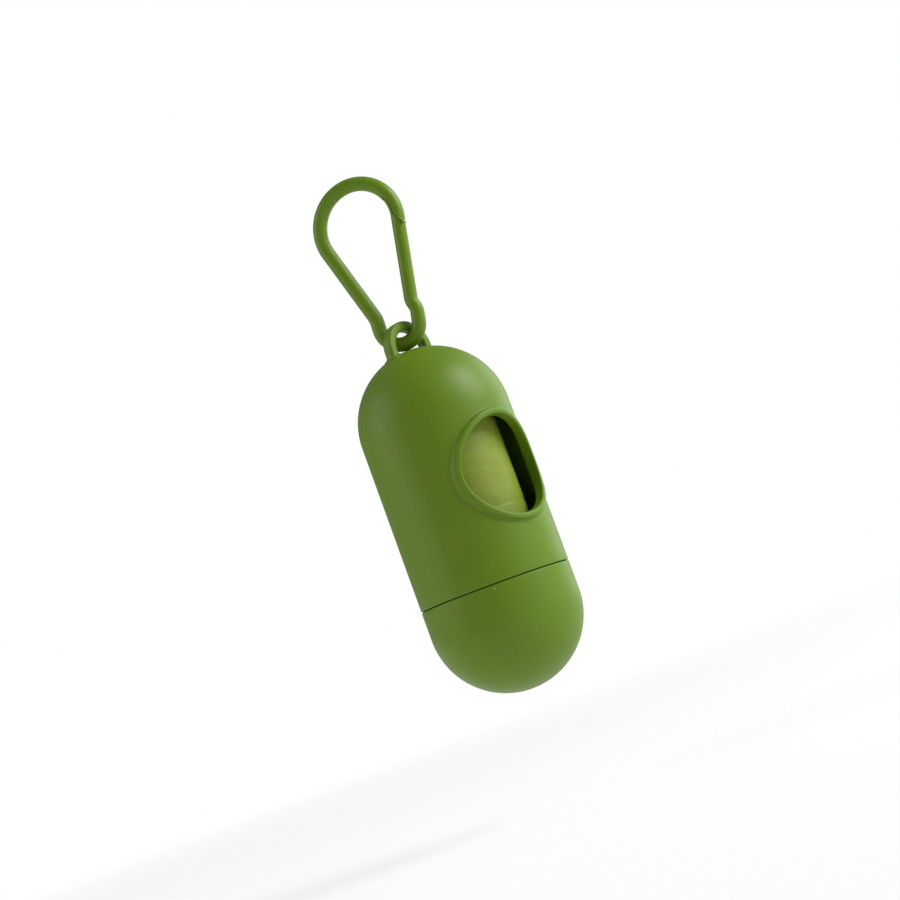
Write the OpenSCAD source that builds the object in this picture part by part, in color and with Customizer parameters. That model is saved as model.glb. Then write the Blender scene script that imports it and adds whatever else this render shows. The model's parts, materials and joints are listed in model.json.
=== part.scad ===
// Clip-on bag dispenser: a two-part screw capsule with a round window, holding a roll
// of bags, hung by a moulded loop from a plastic snap clip.
// Millimetres, +Z up. The origin is the clip's ring seat, the top of the space inside
// the clip, where a ring carries the whole part. The window faces -Y.

/* [Bag roll] */
// Outside diameter of a full roll of bags
roll_d = 30; // [24:0.5:34]
// Length of the roll along its tube
roll_len = 60; // [54:1:80]
// Outside diameter of the cardboard tube in the roll
tube_d = 15; // [12:0.5:18]
// Wall of the cardboard tube
tube_wall = 1; // [0.6:0.1:2]
// Number of bags on the roll
bag_count = 15; // [10:1:20]
// Air between one bag's layer and the next
layer_gap = 0.05; // [0.03:0.01:0.08]

/* [Capsule] */
// Wall of the case and of the cap
wall = 1.8; // [1.4:0.1:2.4]
// Room between the roll and the cap's collar
roll_clearance = 0.9; // [0.6:0.1:2]
// Wall of the cap's collar, which goes up inside the case
collar_wall = 1.2; // [1:0.1:2]
// Room between the collar and the case, where the threads lie
thread_room = 1.1; // [0.9:0.05:1.5]
// Height of the collar above the seam
collar_len = 9; // [8:0.5:12]
// Straight length of the cap between the seam and its round end
cap_straight = 7.5; // [6:0.5:20]
// Room above the roll before the case starts to close
head_room = 2.5; // [1:0.5:10]
// Play between the roll and the round end that it stands in
roll_play = 0.3; // [0.2:0.05:0.6]
// Open line between the case's rim and the cap's rim
seam_gap = 0.25; // [0.15:0.05:0.4]
// Height of the solid ring that joins the collar to the cap
collar_root = 3; // [2:0.5:4]
// Height of the sloped step under that ring
collar_slope = 2.5; // [2:0.5:3]
// Diameter of the moulding nib on the cap
nib_d = 1.1; // [0.6:0.1:1.6]
// Depth of the nib's centre below the seam
nib_drop = 1.1; // [1:0.1:3]
// Compass angle of the nib round the cap, the window being at -90
nib_angle = -137; // [-180:1:-100]

/* [Thread] */
// Travel of the cap for one turn of its two-start thread
thread_lead = 6; // [5:0.25:8]
// Turn that each ridge covers, in degrees
ridge_turn = 264; // [180:12:276]
// Height of a ridge above the wall that carries it
ridge_height = 0.78; // [0.65:0.01:0.8]
// Width of a ridge at its foot
ridge_foot = 1.5; // [1:0.1:1.6]
// Width of a ridge at its crest
ridge_crest = 0.8; // [0.5:0.1:0.9]
// Height of the first ridge's middle above the seam at its low end
ridge_start = 2.1; // [1.8:0.1:2.4]

/* [Window] */
// Diameter of the round window in the case
window_d = 26; // [16:0.5:27]
// Width of the raised rim round the window
rim_width = 1.7; // [1:0.1:2.5]
// How far the rim stands out of the case
rim_proud = 1; // [0.5:0.1:1.5]
// How far the window's middle lies above the middle of the free wall
window_lift = 0.4; // [0:0.1:1]

/* [Hanging loop] */
// Inside radius of the loop on the case's dome
loop_inner_r = 4.9; // [4.7:0.1:6]
// Thickness of the loop's strap
loop_thick = 2.55; // [2:0.05:3]
// Width of the loop's strap
loop_width = 3.2; // [2.4:0.1:3.3]
// Rounding of the strap's edges
loop_round = 0.8; // [0.7:0.05:0.9]
// Height of the loop's middle above the top of the dome
loop_lift = 0.5; // [0.4:0.1:0.9]

/* [Clip] */
// Diameter of the clip's round bar
bar_d = 3.8; // [3:0.1:3.9]
// Diameter of the clip's gate
gate_d = 3.6; // [3:0.1:3.8]
// Radius of the eye's centreline
eye_r = 5.45; // [5.3:0.05:6]
// Height of the crown's top centreline above the eye's middle
clip_span = 38.9; // [36:0.1:50]
// Radius of the crown's centreline on the gate side
crown_r = 10.45; // [9.5:0.05:12]
// How much larger that radius is on the spine side
shoulder_extra = 0.9; // [0.5:0.1:1.5]
// How far the crown's middle lies from the eye's middle, towards the spine
crown_shift = 0.6; // [0:0.1:1]
// Distance of the spine's knee from the eye's middle, sideways
knee_side = 5.35; // [4.8:0.05:5.6]
// Height of the spine's knee above the eye's middle
knee_rise = 3.4; // [3:0.1:5]
// Distance of the gate's root from the eye's middle, sideways
root_side = 5.95; // [5.6:0.05:6.4]
// Height of the gate's root above the eye's middle
root_rise = 2; // [1.6:0.1:4]
// Height of the gate's own bend above its root
gate_bend_rise = 2.4; // [1.8:0.1:4]
// How far the gate's bend lies inside its root
gate_bend_in = 0.7; // [0.2:0.05:0.8]
// Radius of the bends in the bar's centreline
bend_r = 3.6; // [2.5:0.1:4]
// Play between the gate and the frame, at the root and at the nose
gate_play = 0.2; // [0.15:0.05:0.3]
// How far the root's cup stays below the root's middle
cup_set_back = 0.9; // [0.8:0.05:1.2]
// Where the nose's slanted split starts inside the crown, in degrees above its middle
split_start = 24; // [20:1:28]
// Where the slanted split leaves the crown outside, in degrees below its middle
split_end = 21; // [15:1:23]
// How far the long face of the split lies inside the bar's centreline
split_offset = 0.7; // [0.2:0.05:0.8]
// Gap between the bar of the eye and the top of the dome
eye_clearance = 0.25; // [0.2:0.05:0.35]
// Compass angle of the clip's plane, the loop's plane being at 0
clip_angle = -60; // [-90:1:-58]

/* [Hidden] */
$fn = 96;

// Capsule radii, from the roll outwards
roll_r = roll_d / 2;
tube_r = tube_d / 2;
collar_in_r = roll_r + roll_clearance;
collar_r = collar_in_r + collar_wall;
inner_r = collar_r + thread_room;
case_r = inner_r + wall;

// Heights above the seam
roll_corner = sqrt(pow(inner_r, 2) - pow(roll_r, 2));
roll_bottom = -cap_straight - roll_corner + roll_play;
roll_top = roll_bottom + roll_len;
case_straight = roll_top + head_room;
case_top = case_straight + case_r;
cap_bottom = -cap_straight - case_r;
window_z = (collar_len + case_straight) / 2 + window_lift;

// Thread ridges
ridge_sink = 0.5;
ridge_step = 12;
starts = 2;
ridge_pitch = thread_lead / starts;
lead_in = 24;

// Hanging loop
loop_z = case_top + loop_lift;

// Clip
bar_r = bar_d / 2;
gate_r = gate_d / 2;
eye_z = case_top + eye_clearance + bar_r + eye_r;
seat_z = eye_z + clip_span - bar_r;
shoulder_r = crown_r + shoulder_extra;
crown_c = [-crown_shift, clip_span - crown_r];
shoulder_c = [-crown_shift, clip_span - shoulder_r];
eye_c = [0, 0];
knee = [-knee_side, knee_rise];
root = [root_side, root_rise];
gate_bend = [root_side - gate_bend_in, root_rise + gate_bend_rise];
spine_top = tangent_point(knee, shoulder_c, shoulder_r, 1);
eye_left = tangent_point(knee, eye_c, eye_r, -1);
eye_right = tangent_point(root, eye_c, eye_r, 1);
gate_top = tangent_point(gate_bend, crown_c, crown_r, -1);
cut_reach = bar_d * 4;
cut_turn = 30;
split_slope = 8;
split_reach = 2;
ball_proud = 0.02;

// Points and angles in the plane

function bag_name(k) = str("bag_", k < 10 ? "0" : "", k);
function angle_of(v) = atan2(v[1], v[0]);
function polar(c, r, a) = c + r * [cos(a), sin(a)];

// Where a line from point p touches the circle round c: side 1 has the circle on
// its right as seen from p, side -1 on its left
function tangent_point(p, c, r, side) =
    let (to_p = p - c)
    let (spread = acos(r / norm(to_p)))
    polar(c, r, angle_of(to_p) - side * spread);

// Radius of the roll when k bags are on the tube: each bag holds as much film
function layer_r(k) =
    sqrt(pow(tube_r, 2) + (pow(roll_r, 2) - pow(tube_r, 2)) * k / bag_count);

// A round bar between two points of the plane XZ
module straight_bar(p, q, r) {
    translate([p[0], 0, p[1]])
        rotate([0, 90 - angle_of(q - p), 0])
            cylinder(h = norm(q - p), r = r);
}

// A round bar along an arc of the plane XZ, from angle a0 through the given sweep
module arc_bar(c, r_path, a0, sweep, r) {
    translate([c[0], 0, c[1]])
        rotate([90, 0, 0])
            rotate([0, 0, a0])
                rotate_extrude(angle = sweep)
                    translate([r_path, 0])
                        circle(r = r);
}

// A round bar from p to q with a bend at the corner between them
module bent_bar(p, corner, q, r_path, r) {
    a_in = angle_of(corner - p);
    a_out = angle_of(q - corner);
    turn = a_out - a_in;
    side = sign(turn);
    back = r_path * tan(abs(turn) / 2);
    t_in = polar(corner, -back, a_in);
    t_out = polar(corner, back, a_out);
    centre = polar(t_in, r_path, a_in + side * 90);
    straight_bar(p, t_in, r);
    ball(t_in, r, a_in);
    arc_bar(centre, r_path, side > 0 ? a_in - 90 : a_out + 90, abs(turn), r);
    ball(t_out, r, a_out);
    straight_bar(t_out, q, r);
}

// A ball at a point of the plane XZ, on the end of a bar that runs along angle a or
// where it meets the next bar
module ball(p, r, a) {
    translate([p[0], 0, p[1]])
        rotate([0, 90 - a, 0])
            sphere(r = r + ball_proud);
}

// The side of the slanted split where the gate lies, widened by the given play
module split_area(play) {
    step = play / crown_r * 180 / PI;
    face_r = crown_r - split_offset + play;
    face_start = polar(crown_c, face_r, split_start - split_slope + step);
    face_end = polar(crown_c, face_r, split_slope / 2 - split_end + split_slope + step);
    inner_exit = polar(crown_c, crown_r - bar_r, split_start + step);
    outer_exit = polar(crown_c, crown_r + bar_r, -split_end + step);
    rotate([90, 0, 0])
        linear_extrude(height = bar_d * 2, center = true)
            polygon([
                face_start + split_reach * (inner_exit - face_start),
                face_start,
                face_end,
                face_end + split_reach * (outer_exit - face_end),
                polar(crown_c, crown_r + cut_reach, -split_end - cut_turn),
                [root_side, root_rise - bar_d],
                [root_side - bar_d - gate_play, root_rise - bar_d],
                polar(crown_c, crown_r - bar_d, -split_end - cut_turn)
            ]);
}

// Puts what is drawn round the eye's middle in its place on the part
module clip_place() {
    translate([0, 0, eye_z - seat_z])
        rotate([0, 0, clip_angle])
            children();
}

// Puts what is drawn above the seam in its place on the part
module capsule_place() {
    translate([0, 0, -seat_z])
        children();
}

// One helical ridge: r_foot is inside the wall that carries it, r_crest is its free
// edge, z_start is the height of its middle at the low end
module ridge(r_foot, r_wall, r_crest, z_start, a_start) {
    count = floor(ridge_turn / ridge_step);
    sections = [for (i = [0:count])
        let (a = i * ridge_step)
        let (ease = min(1, a / lead_in, (count * ridge_step - a) / lead_in))
        let (crest = r_wall + (r_foot - r_wall) / 2 + ease * (r_crest - r_wall - (r_foot - r_wall) / 2))
        let (z = z_start + thread_lead * a / 360)
        let (dir = [cos(a + a_start), sin(a + a_start)])
        [
            [dir[0] * r_foot, dir[1] * r_foot, z - ridge_foot / 2],
            [dir[0] * crest, dir[1] * crest, z - ridge_crest / 2],
            [dir[0] * crest, dir[1] * crest, z + ridge_crest / 2],
            [dir[0] * r_foot, dir[1] * r_foot, z + ridge_foot / 2]
        ]
    ];
    points = [for (s = sections) for (p = s) p];
    flip = r_crest > r_foot;
    sides = [for (i = [0:count - 1]) for (j = [0:3])
        let (k = (j + 1) % 4)
        let (quad = [i * 4 + j, i * 4 + k, i * 4 + 4 + k, i * 4 + 4 + j])
        for (t = [[quad[0], quad[1], quad[2]], [quad[0], quad[2], quad[3]]])
            flip ? t : [t[2], t[1], t[0]]
    ];
    last = count * 4;
    ends = [[0, 2, 1], [0, 3, 2], [last, last + 1, last + 2], [last, last + 2, last + 3]];
    end_faces = [for (t = ends) flip ? t : [t[2], t[1], t[0]]];
    polyhedron(points = points, faces = concat(sides, end_faces));
}

// The strap of the hanging loop, cut across
module strap_section() {
    square([loop_thick - 2 * loop_round, loop_width], center = true);
    square([loop_thick, loop_width - 2 * loop_round], center = true);
    for (x = [-1, 1]) {
        for (y = [-1, 1]) {
            translate([x * (loop_thick / 2 - loop_round), y * (loop_width / 2 - loop_round)])
                circle(r = loop_round);
        }
    }
}

// The loop: half a ring on two legs that end inside the dome
module hanging_loop() {
    leg = loop_z - case_straight - inner_r + wall;
    translate([0, 0, loop_z])
        rotate([90, 0, 0])
            rotate_extrude(angle = 180)
                translate([loop_inner_r + loop_thick / 2, 0])
                    strap_section();
    for (x = [-1, 1]) {
        translate([x * (loop_inner_r + loop_thick / 2), 0, loop_z - leg])
            linear_extrude(height = leg)
                strap_section();
    }
}

// The round space inside the case, from below the rim to the dome
module case_cavity() {
    translate([0, 0, -wall])
        cylinder(h = case_straight + wall, r = inner_r);
    translate([0, 0, case_straight])
        sphere(r = inner_r);
}

// The case: a tube with a dome, a round window with a raised rim, and the loop
module upper_case() {
    color("yellowgreen")
        capsule_place() {
            difference() {
                union() {
                    translate([0, 0, seam_gap])
                        cylinder(h = case_straight - seam_gap, r = case_r);
                    intersection() {
                        translate([0, 0, case_straight])
                            sphere(r = case_r);
                        translate([0, 0, case_straight])
                            cylinder(h = case_r, r = case_r);
                    }
                    intersection() {
                        translate([0, 0, window_z])
                            rotate([90, 0, 0])
                                cylinder(h = case_r * 2, d = window_d + 2 * rim_width);
                        cylinder(h = case_top, r = case_r + rim_proud);
                    }
                    hanging_loop();
                }
                case_cavity();
                translate([0, 0, window_z])
                    rotate([90, 0, 0])
                        cylinder(h = case_r * 2, d = window_d);
            }
            for (s = [1:starts]) {
                ridge(
                    inner_r + ridge_sink,
                    inner_r,
                    inner_r - ridge_height,
                    ridge_start,
                    s * 360 / starts
                );
            }
        }
}

// Half of the cap's cross-section, turned round Z
module cap_section() {
    difference() {
        union() {
            intersection() {
                translate([0, -cap_straight])
                    circle(r = case_r);
                translate([0, cap_bottom])
                    square([case_r, case_r]);
            }
            translate([0, -cap_straight])
                square([case_r, cap_straight]);
            square([collar_r, collar_len]);
        }
        intersection() {
            translate([0, -cap_straight])
                circle(r = inner_r);
            translate([0, cap_bottom])
                square([case_r, case_r]);
        }
        translate([0, -cap_straight])
            square([inner_r, cap_straight - collar_root - collar_slope]);
        polygon([
            [0, -collar_root - collar_slope],
            [inner_r, -collar_root - collar_slope],
            [collar_in_r, -collar_root],
            [0, -collar_root]
        ]);
        translate([0, -collar_root])
            square([collar_in_r, collar_root + collar_len]);
    }
}

// The cap: a round-ended cup with a threaded collar
module screw_cap() {
    color("yellowgreen")
        capsule_place() {
            rotate_extrude()
                cap_section();
            rotate([0, 0, nib_angle])
                translate([case_r, 0, -nib_drop])
                    sphere(d = nib_d);
            for (s = [1:starts]) {
                ridge(
                    collar_r - ridge_sink,
                    collar_r,
                    collar_r + ridge_height,
                    ridge_start + ridge_pitch / 2,
                    s * 360 / starts
                );
            }
        }
}

// The clip's fixed part: nose, crown, spine, eye and the gate's root cup
module carabiner_frame() {
    a_spine = angle_of(spine_top - shoulder_c) + 360;
    a_left = angle_of(eye_left - eye_c);
    a_right = angle_of(eye_right - eye_c) + 360;
    a_nose = -split_end - split_slope;
    stub = angle_of(root - eye_right);
    color("olivedrab")
        clip_place()
            difference() {
                union() {
                    ball(polar(shoulder_c, shoulder_r, 90), bar_r, 180);
                    arc_bar(shoulder_c, shoulder_r, 90, a_spine - 90, bar_r);
                    ball(spine_top, bar_r, a_spine + 90);
                    bent_bar(spine_top, knee, eye_left, bend_r, bar_r);
                    ball(eye_left, bar_r, a_left + 90);
                    arc_bar(eye_c, eye_r, a_left, a_right - a_left, bar_r);
                    ball(eye_right, bar_r, a_right + 90);
                    straight_bar(eye_right, polar(root, -cup_set_back, stub), bar_r);
                    difference() {
                        arc_bar(crown_c, crown_r, a_nose, 90 - a_nose, bar_r);
                        split_area(gate_play);
                    }
                }
                translate([root[0], 0, root[1]])
                    sphere(r = gate_r + gate_play);
            }
}

// The clip's gate: it turns inwards about its root
module carabiner_gate() {
    a_gate = angle_of(gate_top - crown_c);
    color("olivedrab")
        clip_place() {
            ball(root, gate_r, angle_of(gate_bend - root));
            intersection() {
                union() {
                    bent_bar(root, gate_bend, gate_top, bend_r, gate_r);
                    ball(gate_top, gate_r, a_gate + 90);
                    arc_bar(crown_c, crown_r, a_gate, split_start + split_slope - a_gate, gate_r);
                }
                split_area(0);
            }
        }
}

// A tube standing on the roll's lower end
module roll_tube(r_out, r_in) {
    translate([0, 0, roll_bottom])
        rotate_extrude()
            translate([r_in, 0])
                square([r_out - r_in, roll_len]);
}

// The cardboard tube in the middle of the roll
module roll_core() {
    color("tan")
        capsule_place()
            roll_tube(tube_r, tube_r - tube_wall);
}

// One bag of the roll: its turns of film; bag 1 is the outermost
module bag(k) {
    color("darkkhaki")
        capsule_place()
            roll_tube(layer_r(bag_count - k + 1), layer_r(bag_count - k) + layer_gap);
}

upper_case();
screw_cap();
carabiner_frame();
carabiner_gate();
roll_core();
for (k = [1:bag_count]) {
    bag(k);
}
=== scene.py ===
"""The looks of a clip-on bag dispenser, modelled round its packed construction."""

import json
import math

import bmesh
import bpy
import numpy as np
from mathutils import Matrix, Vector


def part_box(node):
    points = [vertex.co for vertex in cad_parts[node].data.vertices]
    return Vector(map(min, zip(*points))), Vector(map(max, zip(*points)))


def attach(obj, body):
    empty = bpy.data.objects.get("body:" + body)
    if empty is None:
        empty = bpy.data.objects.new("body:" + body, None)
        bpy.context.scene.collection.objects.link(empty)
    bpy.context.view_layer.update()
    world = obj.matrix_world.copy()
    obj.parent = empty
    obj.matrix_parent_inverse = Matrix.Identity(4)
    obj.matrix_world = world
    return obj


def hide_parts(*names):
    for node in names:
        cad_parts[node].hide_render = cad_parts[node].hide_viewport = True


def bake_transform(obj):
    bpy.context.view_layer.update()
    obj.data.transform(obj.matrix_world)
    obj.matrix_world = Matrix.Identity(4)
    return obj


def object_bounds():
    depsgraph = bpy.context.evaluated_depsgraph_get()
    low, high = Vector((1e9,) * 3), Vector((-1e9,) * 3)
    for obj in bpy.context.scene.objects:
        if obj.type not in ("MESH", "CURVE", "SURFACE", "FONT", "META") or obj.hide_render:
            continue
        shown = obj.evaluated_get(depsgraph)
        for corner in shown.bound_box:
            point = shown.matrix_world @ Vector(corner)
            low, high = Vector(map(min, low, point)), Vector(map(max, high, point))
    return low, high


bl_info = {
    "name": "Bag Dispenser",
    "version": (1, 0, 0),
    "blender": (4, 5, 0),
    "location": "View3D > Sidebar > Dispenser",
    "description": "Builds the capsule, clip and bag roll of a clip-on bag dispenser",
    "category": "Add Mesh",
}

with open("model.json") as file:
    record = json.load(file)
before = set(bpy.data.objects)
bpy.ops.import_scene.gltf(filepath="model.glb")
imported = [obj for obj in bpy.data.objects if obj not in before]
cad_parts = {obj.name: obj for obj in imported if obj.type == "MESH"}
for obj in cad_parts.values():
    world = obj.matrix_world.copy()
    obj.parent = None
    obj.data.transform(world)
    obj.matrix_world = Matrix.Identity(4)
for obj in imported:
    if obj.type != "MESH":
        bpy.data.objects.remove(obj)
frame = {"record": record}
BOX_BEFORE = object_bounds()
MM = 0.001
WELD = 5e-8
FINE_STEP = 0.1 * MM
EYE_STEP = 0.25 * MM
WHITE = (1.0, 1.0, 1.0, 1.0)

# Places that the construction fixes, in metres
CASE_LOW, CASE_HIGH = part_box("upper_case")
CAP_LOW, CAP_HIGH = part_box("screw_cap")
TUBE_LOW, TUBE_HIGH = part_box("roll_core")
JOINTS = {joint["name"]: joint for joint in frame["record"]["behaviour"]["joints"]}
EYE = Vector(JOINTS["case_swing"]["pos_m"])
CLIP_NORMAL = Vector(JOINTS["case_swing"]["axis"])
ROOT = Vector(JOINTS["gate_open"]["pos_m"])
BAGS = frame["record"]["behaviour"]["bodies"]["bags"]
BAG_BOXES = [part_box(name) for name in BAGS]


def length(name, millimetres, description):
    """A size in metres that a user may change."""
    return bpy.props.FloatProperty(
        name=name, description=description, default=millimetres * MM, min=0.0, unit="LENGTH", precision=5
    )


def angle(name, degrees, description):
    """An angle that a user may change."""
    return bpy.props.FloatProperty(
        name=name, description=description, default=math.radians(degrees), subtype="ANGLE"
    )


def colour(name, rgb, description):
    """A linear colour that a user may change."""
    return bpy.props.FloatVectorProperty(
        name=name, description=description, default=(*rgb, 1.0), size=4, min=0.0, max=1.0, subtype="COLOR"
    )


class DispenserCapsule(bpy.types.PropertyGroup):
    """Sizes of the case and its cap."""

    radius: length("Radius", CAP_HIGH[0] / MM, "Outside radius of case and cap")
    wall: length("Wall", 1.8, "Wall of case and cap")
    collar_height: length("Collar height", 9.0, "Height of the cap's collar above the seam")
    collar_wall: length("Collar wall", 1.2, "Wall of the collar")
    thread_room: length("Thread room", 1.1, "Gap between collar and case")
    collar_root: length("Collar root", 3.0, "Height of the ring that carries the collar")
    collar_slope: length("Collar slope", 2.5, "Height of the sloped step under the ring")
    edge_round: length("Edge rounding", 0.22, "Rounding of the two rims at the seam")
    window_radius: length("Window radius", 13.0, "Radius of the window")
    window_lift: length("Window lift", 27.396, "Height of the window's middle above the seam")
    rim_width: length("Rim width", 1.7, "Width of the raised rim")
    rim_height: length("Rim height", 1.0, "Height of the raised rim")
    loop_inner: length("Loop inside", 4.9, "Inside radius of the hanging loop")
    loop_thickness: length("Loop thickness", 2.55, "Thickness of the loop's strap")
    loop_width: length("Loop width", 3.2, "Width of the loop's strap")
    loop_round: length("Loop rounding", 0.85, "Rounding of the strap's edges")
    loop_lift: length("Loop lift", 0.5, "Height of the loop's middle above the dome")
    thread_lead: length("Thread lead", 6.0, "Travel of the cap in one turn")
    ridge_height: length("Ridge height", 0.78, "Height of a thread ridge")
    thread_turns: bpy.props.FloatProperty(
        name="Thread turns", description="Turns that each ridge makes", default=264 / 360, min=0.2, max=0.9
    )


class DispenserClip(bpy.types.PropertyGroup):
    """Sizes of the snap clip."""

    bar: length("Bar", 1.9, "Radius of the frame's bar")
    gate: length("Gate", 1.8, "Radius of the gate's bar")
    eye: length("Eye", 5.45, "Radius of the eye's centreline")
    span: length("Span", 38.9, "Crown above the eye's middle")
    crown: length("Crown", 10.45, "Radius of the crown on the gate's side")
    shoulder: length("Shoulder", 11.35, "Radius of the crown on the spine's side")
    shift: length("Shift", 0.6, "Crown, towards the spine")
    knee_side: length("Knee side", 5.35, "Spine's knee, sideways from the eye")
    knee_rise: length("Knee rise", 3.4, "Spine's knee, above the eye's middle")
    bend_rise: length("Bend rise", 2.4, "Gate's bend, above its root")
    bend_in: length("Bend inset", 0.7, "Gate's bend, inside its root")
    bend: length("Bend radius", 3.6, "Radius of the bends in the bar")
    split_start: angle("Split start", 24.0, "Start above the crown's middle")
    split_end: angle("Split end", 21.0, "End below the crown's middle")
    split_slope: angle("Split slope", 8.0, "Turn of the split's steep face")
    split_offset: length("Split offset", 0.7, "Long face, inside the centreline")
    play: length("Play", 0.2, "Gap between nose and gate")


class DispenserRoll(bpy.types.PropertyGroup):
    """Sizes of the bag roll."""

    film: length("Film", 0.07, "Thickness of one folded layer of film")
    layer: length("Layer", 0.13, "Distance from one turn of film to the next")
    ragged: length("Ragged edge", 0.22, "How unevenly the film's edges lie")
    paper: length("Paper", 0.12, "Step of the tube's wound paper")


class DispenserFinish(bpy.types.PropertyGroup):
    """Colours of the materials."""

    case_green: colour("Case green", (0.108, 0.200, 0.004), "Plastic of case and cap")
    clip_green: colour("Clip green", (0.112, 0.205, 0.004), "Plastic of the clip")
    film_green: colour("Film green", (0.20, 0.265, 0.026), "Film of the bags")
    cardboard: colour("Cardboard", (0.46, 0.33, 0.20), "Paper of the roll's tube")
    backdrop: colour("Backdrop", (0.93, 0.93, 0.93), "Floor under the dispenser")


def ring_angles(number):
    """Evenly spaced angles of a full turn."""
    return np.arange(number) * (2.0 * math.pi / number)


def grid_faces(rows, columns, wrap=True):
    """Four-sided faces of a grid of points numbered row by row."""
    last = columns if wrap else columns - 1
    row, column = np.meshgrid(np.arange(rows - 1), np.arange(last), indexing="ij")
    following = (column + 1) % columns
    corners = (
        row * columns + column,
        row * columns + following,
        (row + 1) * columns + following,
        (row + 1) * columns + column,
    )
    return np.stack(corners, axis=-1).reshape(-1, 4)


class MeshParts:
    """Collects patches of points and faces that are welded into one mesh."""

    def __init__(self, grid=None):
        self.points = []
        self.faces = []
        self.total = 0
        if grid is not None:
            self.add_grid(grid)

    def add(self, points, faces):
        """Adds a patch; its faces count from its own first point."""
        points = np.asarray(points, dtype=float).reshape(-1, 3)
        self.faces.extend(tuple(int(i) + self.total for i in face) for face in faces)
        self.points.append(points)
        self.total += len(points)

    def add_grid(self, points, wrap=True):
        """Adds a grid of shape rows, columns, 3."""
        rows, columns = points.shape[:2]
        self.add(points, grid_faces(rows, columns, wrap))

    def add_fan(self, ring, tip):
        """Closes a ring of points with triangles to a tip."""
        size = len(ring)
        points = np.vstack([ring, [tip]])
        self.add(points, [(i, (i + 1) % size, size) for i in range(size)])

    def to_object(self, name, material):
        """Welds the patches, turns the faces outwards and makes the object."""
        mesh = bpy.data.meshes.new(name)
        mesh.from_pydata(np.vstack(self.points).tolist(), [], self.faces)
        outward(mesh, slivers=True)
        mesh.materials.append(material)
        return link_object(name, mesh)


def outward(mesh, smooth_angle=50.0, slivers=False):
    """Merges doubles, turns the faces of a closed mesh outwards and smooths its soft edges."""
    shape = bmesh.new()
    shape.from_mesh(mesh)
    bmesh.ops.remove_doubles(shape, verts=shape.verts, dist=WELD)
    if slivers:
        bmesh.ops.dissolve_degenerate(shape, edges=shape.edges, dist=WELD)
    bmesh.ops.recalc_face_normals(shape, faces=shape.faces)
    shape.to_mesh(mesh)
    shape.free()
    mesh.shade_smooth()
    mesh.set_sharp_from_angle(angle=math.radians(smooth_angle))


def link_object(name, mesh):
    """An object of that mesh in the scene."""
    made = bpy.data.objects.new(name, mesh)
    bpy.context.scene.collection.objects.link(made)
    return made


def arc_points(centre, radius, start, end, steps):
    """Points of a plane arc between two angles in degrees, both ends included."""
    turn = np.radians(np.linspace(start, end, steps + 1))
    return [(centre[0] + radius * math.cos(t), centre[1] + radius * math.sin(t)) for t in turn]


def round_axis(radius, turn, height):
    """Points at a radius and a turn from the capsule's axis; turn 0 faces -Y."""
    height = height + 0.0 * turn
    return np.stack([radius * np.sin(turn), -radius * np.cos(turn), height], axis=-1)


def spun_grid(profile, turns):
    """Points of a profile of (radius, height) pairs set at each turn."""
    profile = np.asarray(profile)
    return round_axis(profile[:, :1], turns, profile[:, 1:])


def closed_tube(name, grid, material):
    """A tube of rings with both ends closed."""
    parts = MeshParts(grid)
    for end in (grid[0], grid[-1]):
        parts.add_fan(end, end.mean(axis=0))
    return parts.to_object(name, material)


# Case


def seam_height():
    """Height of the seam in the frame: the cap's joint lies on it."""
    return JOINTS["cap_turn"]["pos_m"][2]


def dome_height(capsule):
    """Height where the case starts to close."""
    loop_top = capsule.loop_lift + capsule.loop_inner + capsule.loop_thickness
    return CASE_HIGH[2] - loop_top - capsule.radius


def rim_profile(capsule):
    """The rim's cross-section as (distance from the window's axis, radius from the capsule's axis)
    pairs, from outside to inside."""
    outside = capsule.radius
    inside = capsule.radius - capsule.wall
    top = outside + capsule.rim_height
    edge = capsule.window_radius + capsule.rim_width
    foot = 0.45 * MM
    outer_round = 0.62 * MM
    inner_round = 0.72 * MM
    inner_edge = 0.3 * MM
    points = arc_points((edge + foot, outside + foot), foot, 270, 180, 6)
    points += arc_points((edge - outer_round, top - outer_round), outer_round, 0, 90, 8)
    points += arc_points((capsule.window_radius + inner_round, top - inner_round), inner_round, 90, 180, 8)
    points += [(capsule.window_radius, (top + inside) / 2)]
    points += arc_points((capsule.window_radius + inner_edge, inside + inner_edge), inner_edge, 180, 270, 4)
    return points


def around_window(window_z, distance, radius, bearing):
    """Points at a distance from the window's axis and a radius from the capsule's axis."""
    x = distance * np.cos(bearing)
    z = window_z + distance * np.sin(bearing)
    return np.stack([x, -np.sqrt(radius * radius - x * x), z], axis=-1)


def window_border(capsule, window_z, low, high, columns, rows, reach):
    """Turn and height of points on the border of the area round the window, and the bearing of each."""
    turn = np.linspace(-reach, reach, columns + 1)
    height = np.linspace(low, high, rows + 1)
    border = [(t, low) for t in turn[:-1]]
    border += [(reach, z) for z in height[:-1]]
    border += [(t, high) for t in turn[::-1][:-1]]
    border += [(-reach, z) for z in height[::-1][:-1]]
    border = np.array(border)
    bearing = np.arctan2(border[:, 1] - window_z, border[:, 0] * capsule.radius)
    return border, bearing


def wall_round_window(capsule, window_z, border, bearing, distance, radius, rings):
    """A grid from the edge of the rim to the border, on a round wall of that radius."""
    edge = around_window(window_z, distance, radius, bearing)
    edge_turn = np.arcsin(edge[:, 0] / radius)
    grid = []
    for share in np.linspace(0.0, 1.0, rings + 1):
        turn = edge_turn + share * (border[:, 0] - edge_turn)
        grid.append(round_axis(radius, turn, edge[:, 2] + share * (border[:, 1] - edge[:, 2])))
    return np.array(grid)


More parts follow.
